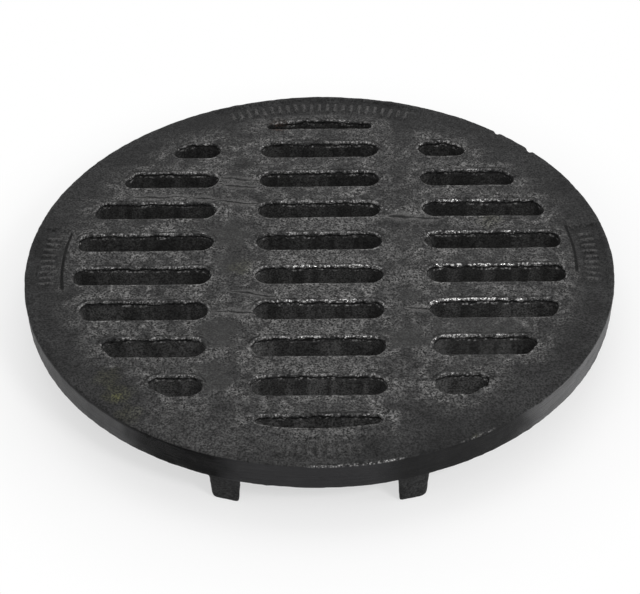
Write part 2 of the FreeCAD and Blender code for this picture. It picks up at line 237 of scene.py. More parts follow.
@dataclass
class PanelRelief:
    """Plain raised bars in a sunk field of the rim, where such castings carry a raised mark."""

    bearing: float
    spread: float
    count: int
    bar_width: float = 0.0030
    bar_length: float = 0.0125
    bar_rise: float = 0.0019

    def build(self) -> bpy.types.Object:
        """Models one bar, copies it along the field and joins the copies.

        Returns:
            The bars of one field as one mesh object.
        """
        model = self.make_bar()
        bars = []
        middle = (PLAN.panel_inner + PLAN.panel_outer) / 2
        for number in range(self.count):
            share = (number + 0.5) / self.count - 0.5
            turn = math.radians(self.bearing + share * self.spread)
            bar = bpy.data.objects.new(f"bar_{number}", model.data.copy())
            bpy.context.scene.collection.objects.link(bar)
            bar.data.transform(Matrix.Rotation(turn, 4, "Z") @ Matrix.Translation((middle, 0, 0)))
            bars.append(bar)
        bpy.data.objects.remove(model, do_unlink=True)
        bpy.ops.object.select_all(action="DESELECT")
        for bar in bars:
            bar.select_set(True)
        bpy.context.view_layer.objects.active = bars[0]
        bpy.ops.object.join()
        return bars[0]

    def make_bar(self) -> bpy.types.Object:
        """Models a bar that lies along X with its foot in the field's floor.

        Returns:
            The bar at the origin of the plan, at the height of the field.
        """
        floor_z = PLAN.top - PLAN.panel_depth
        bpy.ops.object.select_all(action="DESELECT")
        bpy.ops.mesh.primitive_cube_add(size=1, location=(0, 0, 0))
        bar = bpy.context.active_object
        bpy.ops.object.mode_set(mode="EDIT")
        bpy.ops.mesh.select_all(action="SELECT")
        bpy.ops.transform.resize(value=(self.bar_length, self.bar_width, self.bar_rise + 0.001))
        bpy.ops.transform.translate(value=(0, 0, floor_z + (self.bar_rise - 0.001) / 2))
        bpy.ops.object.mode_set(mode="OBJECT")
        for polygon in bar.data.polygons:
            polygon.select = polygon.normal.z > 0.5
        bpy.ops.object.mode_set(mode="EDIT")
        bpy.ops.mesh.bevel(offset=0.0005, segments=1, affect="EDGES")
        bpy.ops.object.mode_set(mode="OBJECT")
        return bar


@dataclass
class Chip:
    """A small piece knocked out of the rim's upper edge."""

    bearing: float
    width: float
    depth: float

    def cut(self, obj: bpy.types.Object) -> None:
        """Cuts the chip out of a mesh.

        Args:
            obj: The casting.
        """
        turn = math.radians(self.bearing)
        place = (math.cos(turn) * PLAN.rim_radius, math.sin(turn) * PLAN.rim_radius, PLAN.top)
        bpy.ops.object.select_all(action="DESELECT")
        bpy.ops.mesh.primitive_ico_sphere_add(subdivisions=2, radius=self.width / 2, location=place)
        tool = bpy.context.active_object
        tool.scale = (0.7, 0.7, 2 * self.depth / self.width)
        tool.rotation_euler = (0, 0, turn)
        cutter = obj.modifiers.new("chip", "BOOLEAN")
        cutter.operation = "DIFFERENCE"
        cutter.object = tool
        bpy.context.view_layer.update()
        apply_modifiers(obj)
        bpy.data.objects.remove(tool, do_unlink=True)


@dataclass
class Roughness:
    """One layer of lumps on the skin, made from a solid noise."""

    name: str
    zone: Zone
    grain: float
    height: float
    level: float
    depth: int = 2
    hard: bool = False

    def add(self, obj: bpy.types.Object) -> None:
        """Adds the layer to a mesh as a displacement.

        Args:
            obj: The casting, with a vertex group for the zone.
        """
        texture = bpy.data.textures.new(self.name, "CLOUDS")
        texture.noise_scale = self.grain
        texture.noise_depth = self.depth
        texture.noise_type = "HARD_NOISE" if self.hard else "SOFT_NOISE"
        layer = obj.modifiers.new(self.name, "DISPLACE")
        layer.texture = texture
        layer.texture_coords = "LOCAL"
        layer.direction = "NORMAL"
        layer.strength = self.height
        layer.mid_level = self.level
        layer.vertex_group = self.zone.value


@dataclass
class Casting:
    """The whole grate as it came out of the sand: one skin over the solid, with lumps, ragged
    slot lips, chips and a plain relief in the sunk fields."""

    node: str = "grate"
    name: str = "cast_grate"
    voxel: float = 0.0011
    face_budget: int = 190000
    reliefs: list[PanelRelief] = field(default_factory=lambda: [
        PanelRelief(bearing=0, spread=17, count=9),
        PanelRelief(bearing=180, spread=17, count=9),
        PanelRelief(bearing=270, spread=17, count=9),
        PanelRelief(bearing=90, spread=43, count=23),
    ])
    chips: list[Chip] = field(default_factory=lambda: [
        Chip(bearing=48.3, width=0.010, depth=0.0030),
        Chip(bearing=39.1, width=0.012, depth=0.0034),
    ])
    layers: list[Roughness] = field(default_factory=lambda: [
        Roughness("swell", Zone.ALL, grain=0.030, height=0.0007, level=0.6),
        Roughness("lumps", Zone.ALL, grain=0.007, height=0.0007, level=0.55),
        Roughness("worn_lips", Zone.LIP, grain=0.0110, height=0.0026, level=0.5, depth=1),
        Roughness("ragged_lips", Zone.LIP, grain=0.0034, height=0.0030, level=0.45, depth=2),
    ])

    def build(self) -> bpy.types.Object:
        """Models the casting.

        Returns:
            The finished mesh object, at the origin.
        """
        obj = self.copy_solid()
        for chip in self.chips:
            chip.cut(obj)
        bars = [relief.build() for relief in self.reliefs]
        bpy.ops.object.select_all(action="DESELECT")
        for bar in bars:
            bar.select_set(True)
        obj.select_set(True)
        bpy.context.view_layer.objects.active = obj
        bpy.ops.object.join()
        self.cast_skin(obj)
        self.mark_zones(obj)
        sharpen = obj.modifiers.new("near_lips", "DISPLACE")
        sharpen.strength = 0.0010
        sharpen.mid_level = 0.0
        sharpen.vertex_group = Zone.NEAR_LIP.value
        for layer in self.layers:
            layer.add(obj)
        apply_modifiers(obj)
        self.keep_inside(obj)
        self.thin_out(obj)
        self.keep_inside(obj)
        self.store_maps(obj)
        only(obj)
        bpy.ops.object.shade_smooth()
        return obj

    def copy_solid(self) -> bpy.types.Object:
        """Copies the solid's mesh and joins its loose triangles.

        Returns:
            The copy, at the origin.
        """
        obj = bpy.data.objects.new(self.name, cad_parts[self.node].data.copy())
        bpy.context.scene.collection.objects.link(obj)
        only(obj)
        bpy.ops.object.mode_set(mode="EDIT")
        bpy.ops.mesh.select_all(action="SELECT")
        bpy.ops.mesh.remove_doubles(threshold=1e-6)
        bpy.ops.mesh.normals_make_consistent(inside=False)
        bpy.ops.object.mode_set(mode="OBJECT")
        return obj

    def cast_skin(self, obj: bpy.types.Object) -> None:
        """Wraps everything in one even skin, which also rounds the edges as sand does.

        Args:
            obj: The casting.
        """
        remesh = obj.modifiers.new("skin", "REMESH")
        remesh.mode = "VOXEL"
        remesh.voxel_size = self.voxel
        remesh.adaptivity = 0
        smooth = obj.modifiers.new("soften", "SMOOTH")
        smooth.factor = 0.5
        smooth.iterations = 1
        apply_modifiers(obj)

    def mark_zones(self, obj: bpy.types.Object) -> None:
        """Marks the zones of the skin as vertex groups.

        Args:
            obj: The casting.
        """
        points = vertex_array(obj)
        distance = PLAN.slot_distance(points)
        depth = PLAN.top - points[:, 2]
        lip = np.exp(-(distance / 0.0030) ** 2) * smooth_step(0.0080, 0.0020, depth)
        far = PLAN.far_side(points)
        edge = np.exp(-(distance / 0.0016) ** 2) * smooth_step(0.0030, 0.0010, depth)
        weights = {
            Zone.ALL: np.ones(len(points)),
            Zone.LIP: lip * (0.12 + 0.88 * far),
            Zone.NEAR_LIP: edge * (1 - far),
        }
        for zone, weight in weights.items():
            group = obj.vertex_groups.new(name=zone.value)
            levels = np.round(weight * 20).astype(int)
            for level in range(1, 21):
                members = np.flatnonzero(levels == level).tolist()
                if members:
                    group.add(members, level / 20, "REPLACE")

    def keep_inside(self, obj: bpy.types.Object) -> None:
        """Grinds off what stands out of the solid's box.

        Args:
            obj: The casting.
        """
        points = vertex_array(obj)
        radius = np.hypot(points[:, 0], points[:, 1])
        limit = PLAN.rim_radius - 0.00006
        shrink = np.minimum(1, limit / np.maximum(radius, 1e-6))
        points[:, :2] *= shrink[:, None]
        points[:, 2] = np.clip(points[:, 2], 0, PLAN.top)
        write_vertices(obj, points)

    def thin_out(self, obj: bpy.types.Object) -> None:
        """Merges faces where the skin is flat, until the mesh fits its budget.

        Args:
            obj: The casting.
        """
        triangles = sum(len(polygon.vertices) - 2 for polygon in obj.data.polygons)
        if triangles <= self.face_budget:
            return
        thin = obj.modifiers.new("thin_out", "DECIMATE")
        thin.decimate_type = "COLLAPSE"
        thin.ratio = self.face_budget / triangles
        thin.use_collapse_triangulate = True
        thin.vertex_group = Zone.LIP.value
        thin.invert_vertex_group = True
        thin.vertex_group_factor = 1.0
        apply_modifiers(obj)

    def store_maps(self, obj: bpy.types.Object) -> None:
        """Stores numbers on the skin, for the finish: millimetres to the nearest slot, the side
        of that slot, and the raised bars in the sunk fields.

        Args:
            obj: The casting.
        """
        points = vertex_array(obj)
        floor_z = PLAN.top - PLAN.panel_depth
        raised = smooth_step(0.0006, 0.0014, points[:, 2] - floor_z)
        inside = smooth_step(0.0, 0.002, PLAN.panel_reach(points))
        maps = {
            SkinMap.SLOT: PLAN.slot_distance(points) * 1000,
            SkinMap.FAR: PLAN.far_side(points),
            SkinMap.RELIEF: raised * inside,
        }
        for name, values in maps.items():
            layer = obj.data.attributes.new(name.value, "FLOAT", "POINT")
            layer.data.foreach_set("value", values.astype(np.float32))


# Finish


class Nodes:
    """Short names for the nodes of one tree."""

    def __init__(self, tree: bpy.types.NodeTree) -> None:
        """Keeps the tree.

        Args:
            tree: A material's node tree or a node group.
        """
        self.tree = tree

    def add(self, kind: str, **settings: object) -> bpy.types.Node:
        """Adds a node and sets its properties.

        Args:
            kind: The node's type without its "ShaderNode" start.
            settings: Properties by name.

        Returns:
            The node.
        """
        node = self.tree.nodes.new(f"ShaderNode{kind}")
        for name, value in settings.items():
            setattr(node, name, value)
        return node

    def feed(self, socket: bpy.types.NodeSocket, value: object) -> None:
        """Links an output to a socket, or writes a value to it.

        Args:
            socket: An input.
            value: An output socket, a number or a tuple.
        """
        if isinstance(value, bpy.types.NodeSocket):
            self.tree.links.new(value, socket)
        else:
            socket.default_value = value

    def math(self, operation: str, *values: object, clamp: bool = False) -> bpy.types.NodeSocket:
        """Adds a Math node.

        Args:
            operation: Its operation.
            values: Its inputs, sockets or numbers.
            clamp: Keeps the result from 0 to 1.

        Returns:
            Its output.
        """
        node = self.add("Math", operation=operation, use_clamp=clamp)
        for socket, value in zip(node.inputs, values):
            self.feed(socket, value)
        return node.outputs[0]

    def vector(self, operation: str, *values: object) -> bpy.types.NodeSocket:
        """Adds a Vector Math node.

        Args:
            operation: Its operation.
            values: Its inputs, sockets or triples.

        Returns:
            Its vector output, or its number for LENGTH and DOT_PRODUCT.
        """
        node = self.add("VectorMath", operation=operation)
        for socket, value in zip(node.inputs, values):
            self.feed(socket, value)
        number = operation in ("LENGTH", "DOT_PRODUCT", "DISTANCE")
        return node.outputs["Value" if number else "Vector"]

    def ramp(self, value: object, low: float, high: float,
             start: float = 0.0, end: float = 1.0) -> bpy.types.NodeSocket:
        """Maps a range smoothly to another and holds its ends.

        Args:
            value: The number to map.
            low: Where the change starts.
            high: Where it ends.
            start: The result at low.
            end: The result at high.

        Returns:
            The mapped number.
        """
        node = self.add("MapRange", interpolation_type="SMOOTHSTEP")
        for name, number in (("Value", value), ("From Min", low), ("From Max", high),
                             ("To Min", start), ("To Max", end)):
            self.feed(node.inputs[name], number)
        return node.outputs["Result"]

    def noise(self, vector: object, scale: float, detail: float = 3.0,
              roughness: float = 0.55, distortion: float = 0.0) -> bpy.types.NodeSocket:
        """Adds a Noise Texture.

        Args:
            vector: Where it is read.
            scale: Cells to the metre.
            detail: Finer layers.
            roughness: Weight of the finer layers.
            distortion: How far it is stirred.

        Returns:
            Its value, around 0.5.
        """
        node = self.add("TexNoise")
        for name, number in (("Vector", vector), ("Scale", scale), ("Detail", detail),
                             ("Roughness", roughness), ("Distortion", distortion)):
            self.feed(node.inputs[name], number)
        return node.outputs["Fac"]

    def blend(self, mask: object, below: object, above: object,
              mode: str = "MIX") -> bpy.types.NodeSocket:
        """Mixes two colours.

        Args:
            mask: How much of the second shows.
            below: The first colour.
            above: The second colour.
            mode: The blend type.

        Returns:
            The mixed colour.
        """
        node = self.add("Mix", data_type="RGBA", blend_type=mode, clamp_factor=True)
        self.feed(node.inputs[0], mask)
        self.feed(node.inputs[6], (*below, 1) if isinstance(below, tuple) else below)
        self.feed(node.inputs[7], (*above, 1) if isinstance(above, tuple) else above)
        return node.outputs[2]


def new_group(name: str, inputs: dict[str, str], outputs: dict[str, str]) -> tuple[Nodes, object, object]:
    """Makes a node group with named sockets.

    Args:
        name: The group's name.
        inputs: Socket name to "Float" or "Vector".
        outputs: The same, for the outputs.

    Returns:
        The group's nodes, its input node and its output node.
    """
    tree = bpy.data.node_groups.new(name, "ShaderNodeTree")
    for side, sockets in (("INPUT", inputs), ("OUTPUT", outputs)):
        for socket, kind in sockets.items():
            tree.interface.new_socket(name=socket, in_out=side, socket_type=f"NodeSocket{kind}")
    source = tree.nodes.new("NodeGroupInput")
    sink = tree.nodes.new("NodeGroupOutput")
    return Nodes(tree), source, sink


class SharedEffects:
    """Node groups that the finish uses again and again."""

    def __init__(self) -> None:
        """Builds the groups."""
        self.flecks = self.build_flecks()
        self.seam = self.build_seam()
        self.sector = self.build_sector()

    @staticmethod
    def build_flecks() -> bpy.types.NodeTree:
        """Flecks: small uneven spots, a share of the cells of a mosaic.

        Returns:
            The group: Vector, Scale, Share, Size to Mask.
        """
        nodes, source, sink = new_group(
            "flecks", {"Vector": "Vector", "Scale": "Float", "Share": "Float", "Size": "Float"},
            {"Mask": "Float"})
        cells = nodes.add("TexVoronoi")
        nodes.feed(cells.inputs["Vector"], source.outputs["Vector"])
        nodes.feed(cells.inputs["Scale"], source.outputs["Scale"])
        lot = nodes.vector("DOT_PRODUCT", cells.outputs["Color"], (0.34, 0.33, 0.33))
        chosen = nodes.math("LESS_THAN", lot, source.outputs["Share"])
        spot = nodes.ramp(cells.outputs["Distance"], source.outputs["Size"], 0.0)
        nodes.feed(sink.inputs["Mask"], nodes.math("MULTIPLY", chosen, spot))
        return nodes.tree

    @staticmethod
    def build_seam() -> bpy.types.NodeTree:
        """A flow seam, where two fronts of iron met: a thin line between two points.

        Returns:
            The group: Vector, Start, End, Width to Line and Bank.
        """
        nodes, source, sink = new_group(
            "flow_seam", {"Vector": "Vector", "Start": "Vector", "End": "Vector", "Width": "Float"},
            {"Line": "Float", "Bank": "Float"})
        start, width = source.outputs["Start"], source.outputs["Width"]
        along = nodes.vector("SUBTRACT", source.outputs["End"], start)
        to_point = nodes.vector("SUBTRACT", source.outputs["Vector"], start)
        square = nodes.vector("DOT_PRODUCT", along, along)
        share = nodes.math("DIVIDE", nodes.vector("DOT_PRODUCT", to_point, along), square, clamp=True)
        reach = nodes.add("VectorMath", operation="SCALE")
        nodes.feed(reach.inputs[0], along)
        nodes.feed(reach.inputs["Scale"], share)
        away = nodes.vector("DISTANCE", to_point, reach.outputs["Vector"])
        rest = nodes.math("SUBTRACT", 1.0, share)
        belly = nodes.math("MULTIPLY_ADD", nodes.math("MULTIPLY", share, rest), 3.2, 0.25)
        taper = nodes.math("MULTIPLY", width, belly)
        line = nodes.ramp(away, taper, 0.0)
        bank = nodes.ramp(away, nodes.math("MULTIPLY", taper, 4.0), taper)
        nodes.feed(sink.inputs["Line"], line)
        nodes.feed(sink.inputs["Bank"], nodes.math("SUBTRACT", bank, line, clamp=True))
        return nodes.tree

    @staticmethod
    def build_sector() -> bpy.types.NodeTree:
        """A sector of the round plan with soft ends.

        Returns:
            The group: Bearing, Middle, Half, Soft to Mask, all in degrees.
        """
        nodes, source, sink = new_group(
            "sector", {"Bearing": "Float", "Middle": "Float", "Half": "Float", "Soft": "Float"},
            {"Mask": "Float"})
        away = nodes.math("SUBTRACT", source.outputs["Bearing"], source.outputs["Middle"])
        wrapped = nodes.math("ABSOLUTE", nodes.math("WRAP", away, -180.0, 180.0))
        outer = nodes.math("ADD", source.outputs["Half"], source.outputs["Soft"])
        nodes.feed(sink.inputs["Mask"], nodes.ramp(wrapped, outer, source.outputs["Half"]))
        return nodes.tree


@dataclass(frozen=True)
class FlowSeam:
    """Where one flow seam runs on the walking face, in metres."""

    start: Point
    end: Point
    width: float = 0.0019


@dataclass(frozen=True)
class Spot:
    """A soft round place on the walking face: a stain, where the coat lies smooth, dusty or crumbly, or where the
    lips' painted highlight is stronger.
    """

    place: Point
    size: float
    strength: float
    color: Color = (0.0, 0.0, 0.0)
    fade: float = 1.9


@dataclass(frozen=True)
class PaintedRimShading:
    """A stretch of the rim's side with its own tone: a lighter one is painted light, a darker one painted shade."""

    middle: float
    half: float
    soft: float
    color: Color
    streaks: float


@dataclass(frozen=True)
class WornCoat:
    """Cast iron under a thin black coat, greyed by dust and worn off round the slots; its colour also carries
    painted light, painted shade and painted highlights.
    """

    name: str = "cast_iron_black"
    coat: Color = (0.0100, 0.0100, 0.0102)
    coat_pale: Color = (0.0290, 0.0290, 0.0292)
    polished: Color = (0.0330, 0.0330, 0.0327)
    dust: Color = (0.112, 0.1105, 0.1090)
    crumb: Color = (0.26, 0.258, 0.255)
    # Uncoated iron: real worn flecks, and also the painted highlights of the lips and the rim's upper edge.
    bare_and_highlight: Color = (0.42, 0.415, 0.41)
    # Darkest colour: real holes and seam lines, and also painted shade at the lips, the rim's upper edge and the
    # sunk fields' steps.
    pit_and_shade: Color = (0.0025, 0.0025, 0.0025)
    # Slot walls: the back colour is their own; the lighter front one is painted light.
    wall_back: Color = (0.027, 0.0268, 0.0265)
    wall_front_painted_light: Color = (0.060, 0.0595, 0.0590)
    side: Color = (0.0280, 0.0278, 0.0292)
    specular: float = 0.10
    seams: tuple[FlowSeam, ...] = (
        FlowSeam((-0.170, 0.0890), (-0.1134, 0.0880), 0.0016),
        FlowSeam((-0.1134, 0.0880), (-0.0910, 0.0830)),
        FlowSeam((-0.0910, 0.0830), (-0.0525, 0.0765)),
        FlowSeam((-0.092, 0.1082), (-0.056, 0.101)),
        FlowSeam((0.060, 0.0580), (0.084, 0.0560), 0.0028),
        FlowSeam((0.084, 0.0560), (0.108, 0.0530), 0.0024),
        FlowSeam((-0.0745, -0.0435), (-0.031, -0.052), 0.0016),
        FlowSeam((-0.0875, -0.0690), (-0.052, -0.0735), 0.0020),
        FlowSeam((0.0705, -0.0675), (0.095, -0.0690), 0.0018),
        FlowSeam((-0.095, 0.119), (-0.052, 0.112), 0.0016),
    )
    stains: tuple[Spot, ...] = (
        Spot((-0.036, 0.201), 0.010, 0.30, (0.055, 0.026, 0.012)),
        Spot((-0.166, -0.149), 0.013, 0.09, (0.070, 0.071, 0.026)),
        Spot((-0.156, -0.168), 0.014, 0.13, (0.070, 0.071, 0.026)),
        Spot((-0.157, -0.172), 0.005, 0.24, (0.090, 0.091, 0.030)),
        Spot((-0.145, -0.190), 0.013, 0.09, (0.070, 0.071, 0.026)),
        Spot((0.125, -0.2265), 0.012, 0.20, (0.065, 0.065, 0.028)),
        Spot((-0.066, -0.012), 0.012, 0.16, (0.045, 0.045, 0.020)),
        Spot((0.150, 0.052), 0.014, 0.14, (0.055, 0.055, 0.026)),
    )
    smooth: tuple[Spot, ...] = (
        Spot((-0.078, 0.032), 0.026, 0.95, fade=1.6),
        Spot((-0.076, -0.008), 0.020, 0.8, fade=1.6),
        Spot((-0.082, -0.096), 0.028, 0.95, fade=1.6),
        Spot((-0.084, -0.150), 0.024, 0.8, fade=1.6),
        Spot((0.072, -0.104), 0.020, 0.8, fade=1.6),
        Spot((0.074, 0.024), 0.014, 0.5, fade=1.6),
        Spot((0.076, -0.052), 0.012, 0.8, fade=1.6),
        Spot((0.130, -0.095), 0.045, 0.65),
        Spot((0.135, -0.005), 0.035, 0.3),
    )
    dusty: tuple[Spot, ...] = (
        Spot((0.0, -0.010), 0.055, 1.0),
        Spot((0.010, 0.040), 0.045, 0.8),
        Spot((-0.005, -0.095), 0.045, 1.0),
        Spot((0.0, -0.140), 0.045, 0.9),
        Spot((0.0735, -0.024), 0.015, 1.0),
        Spot((0.0600, 0.0050), 0.013, 1.0),
        Spot((0.0820, 0.0020), 0.012, 1.0),
        Spot((0.0860, -0.124), 0.013, 0.9),
        Spot((-0.0800, -0.052), 0.008, 1.0),
        Spot((-0.110, -0.212), 0.045, 0.50),
        Spot((-0.070, -0.228), 0.025, 0.50),
        Spot((-0.010, -0.228), 0.045, 0.36),
    )
    # Where the lips' uncoated line is stronger, where the glints fall: partly wear, partly painted highlight.
    rubbed_and_glint: tuple[Spot, ...] = (
        Spot((0.135, -0.011), 0.050, 1.0),
        Spot((0.130, -0.057), 0.050, 1.0),
        Spot((0.0, -0.057), 0.045, 0.55),
        Spot((0.0, -0.011), 0.050, 0.45),
        Spot((0.0, -0.103), 0.045, 0.50),
        Spot((0.11, 0.080), 0.055, 0.45),
        Spot((0.11, -0.103), 0.040, 0.45),
    )
    crumbled: tuple[Spot, ...] = (
        Spot((0.0580, 0.0680), 0.0060, 1.0),
        Spot((0.0690, 0.0655), 0.0060, 1.0),
        Spot((0.0800, 0.0630), 0.0060, 1.0),
        Spot((0.0910, 0.0610), 0.0050, 0.9),
        Spot((0.0930, 0.0290), 0.0070, 0.8),
        Spot((-0.0480, -0.0440), 0.0070, 0.9),
        Spot((-0.0360, -0.0470), 0.0060, 0.8),
        Spot((-0.0980, 0.1150), 0.0120, 0.7),
    )
    # Stretches of the rim's side: the two light ones are painted light, the two dark ones painted shade.
    bands: tuple[PaintedRimShading, ...] = (
        PaintedRimShading(-64.0, 11.0, 6.0, (0.0085, 0.0085, 0.0087), 0.20),
        PaintedRimShading(-26.5, 17.0, 12.0, (0.128, 0.128, 0.129), 0.50),
        PaintedRimShading(-148.0, 21.0, 5.0, (0.082, 0.082, 0.083), 0.40),
        PaintedRimShading(-115.5, 5.5, 6.0, (0.0003, 0.0003, 0.0004), 0.25),
    )

    def make(self, effects: SharedEffects) -> bpy.types.Material:
        """Builds the material.

        Args:
            effects: The shared node groups.

        Returns:
            The material.
        """
        material = bpy.data.materials.new(self.name)
        material.use_nodes = True
        material.node_tree.nodes.clear()
        nodes = Nodes(material.node_tree)
        skin = SkinMasks(nodes, effects, self)
        surface = nodes.add("BsdfPrincipled")
        nodes.feed(surface.inputs["Base Color"], self.paint(nodes, skin))
        nodes.feed(surface.inputs["Roughness"], self.polish(nodes, skin))
        # Metallic: uncoated flecks, painted highlights, and the dull painted-shade stretch of the rim's side.
        nodes.feed(surface.inputs["Metallic"],
                   nodes.math("MULTIPLY_ADD", skin.scale, 0.65, skin.bright, clamp=True))
        nodes.feed(surface.inputs["Normal"], self.relief(nodes, skin))
        surface.inputs["Specular IOR Level"].default_value = self.specular
        output = nodes.add("OutputMaterial")
        nodes.feed(output.inputs["Surface"], surface.outputs["BSDF"])
        return material

    def paint(self, nodes: Nodes, skin: "SkinMasks") -> bpy.types.NodeSocket:
        """Lays the colours over each other.

        Args:
            nodes: The material's nodes.
            skin: The masks.

        Returns:
            The base colour.
        """
        color = nodes.blend(skin.cloud, self.coat, self.coat_pale)
        color = nodes.blend(skin.smooth, color, self.polished)
        color = nodes.blend(skin.worn, color, self.dust)
        color = nodes.blend(nodes.math("MULTIPLY", skin.relief, skin.relief_wear), color, self.dust)
        for stain in self.stains:
            color = nodes.blend(nodes.math("MULTIPLY", skin.spot(stain), skin.speckled), color, stain.color)
        # Slot walls grow lighter towards the front rows: painted light.
        wall = nodes.blend(skin.front_painted_light, self.wall_back, self.wall_front_painted_light)
        # Random bands on the slot walls, with painted shade at the slots' right ends.
        bands = nodes.add("CombineColor")
        for socket in bands.inputs[:3]:
            nodes.feed(socket, skin.wall_bands_and_shade)
        wall = nodes.blend(1.0, wall, bands.outputs[0], "MULTIPLY")
        color = nodes.blend(skin.wall, color, wall)
        color = nodes.blend(skin.side, color, self.tone_rim(nodes, skin))
        mottled = nodes.math("MULTIPLY_ADD", skin.mottle, 0.28, nodes.math("MULTIPLY", skin.grain, 0.72))
        contrast = nodes.ramp(mottled, 0.36, 0.66, -0.15, 2.4)
        contrast = nodes.math("MULTIPLY_ADD", nodes.math("SUBTRACT", contrast, 1.0), skin.coarse, 1.0)
        contrast = nodes.math("MAXIMUM", contrast, 0.08)
        shade = nodes.add("CombineColor")
        for socket in shade.inputs[:3]:
            nodes.feed(socket, contrast)
        color = nodes.blend(1.0, color, shade.outputs[0], "MULTIPLY")
        # Pitted flecks and holes, with the painted shade lines of the lips.
        color = nodes.blend(skin.pits_and_shade, color, self.pit_and_shade)
        color = nodes.blend(skin.crumbs, color, self.crumb)
        # Painted shade along the inner steps of the sunk fields.
        color = nodes.blend(skin.step_shade, color, self.pit_and_shade)
        color = nodes.blend(nodes.math("MULTIPLY", skin.bank, 0.85), color, self.dust)
        color = nodes.blend(nodes.math("MULTIPLY", skin.line, 0.9), color, self.pit_and_shade)
        # Uncoated flecks and the painted highlights.
        return nodes.blend(skin.bright, color, self.bare_and_highlight)

    def tone_rim(self, nodes: Nodes, skin: "SkinMasks") -> bpy.types.NodeSocket:
        """The rim's side: an even dark coat with drag lines, lighter stretches of painted light, darker stretches of
        painted shade, and a painted shadow under its upper edge on the left.

        Args:
            nodes: The material's nodes.
            skin: The masks.

        Returns:
            The colour.
        """
        lines = nodes.math("MULTIPLY_ADD", skin.drag, 0.22, 0.89)
        tone = nodes.add("CombineColor")
        for socket, part in zip(tone.inputs[:3], self.side):
            nodes.feed(socket, nodes.math("MULTIPLY", lines, part))
        color = tone.outputs[0]
        # Painted light and painted shade in stretches round the rim's side.
        for band in self.bands:
            mask = skin.sector(band.middle, band.half, band.soft)
            streak = nodes.math("MULTIPLY_ADD", nodes.math("SUBTRACT", skin.drag, 1.0), band.streaks, 1.0)
            color = nodes.blend(nodes.math("MULTIPLY", mask, streak), color, band.color)
        # Painted shadow just under the rim's upper edge.
        return nodes.blend(skin.under_brink_shade, color, self.pit_and_shade)

    def polish(self, nodes: Nodes, skin: "SkinMasks") -> bpy.types.NodeSocket:
        """Roughness: satin where the coat lies thick, dull in dust, glossy on uncoated flecks and on the painted
        highlights.

        Args:
            nodes: The material's nodes.
            skin: The masks.

        Returns:
            The roughness.
        """
        value = nodes.ramp(skin.cloud, 0.0, 1.0, 0.52, 0.66)
        value = nodes.math("MULTIPLY_ADD", skin.worn, 0.12, value)
        value = nodes.math("MULTIPLY_ADD", skin.lip, -0.15, value)
        value = nodes.math("MULTIPLY_ADD", skin.bright, -0.30, value)
        return nodes.math("MAXIMUM", value, 0.24)

    def relief(self, nodes: Nodes, skin: "SkinMasks") -> bpy.types.NodeSocket:
        """Fine relief of the skin, in metres, turned into a normal.

        Args:
            nodes: The material's nodes.
            skin: The masks.

        Returns:
            The bumped normal.
        """
        height = nodes.math("MULTIPLY", nodes.math("MULTIPLY", skin.grain, skin.open_skin), 0.0006)
        lumps = nodes.math("MULTIPLY_ADD", skin.lip, 0.0013, 0.0004)
        height = nodes.math("MULTIPLY_ADD", skin.mottle, nodes.math("MULTIPLY", lumps, skin.open_skin), height)
        height = nodes.math("MULTIPLY_ADD", nodes.math("MULTIPLY", skin.side, skin.drag), 0.00012, height)
        bump = nodes.add("Bump")
        bump.inputs["Distance"].default_value = 1.0
        bump.inputs["Strength"].default_value = 1.0
        nodes.feed(bump.inputs["Height"], height)
        return bump.outputs["Normal"]


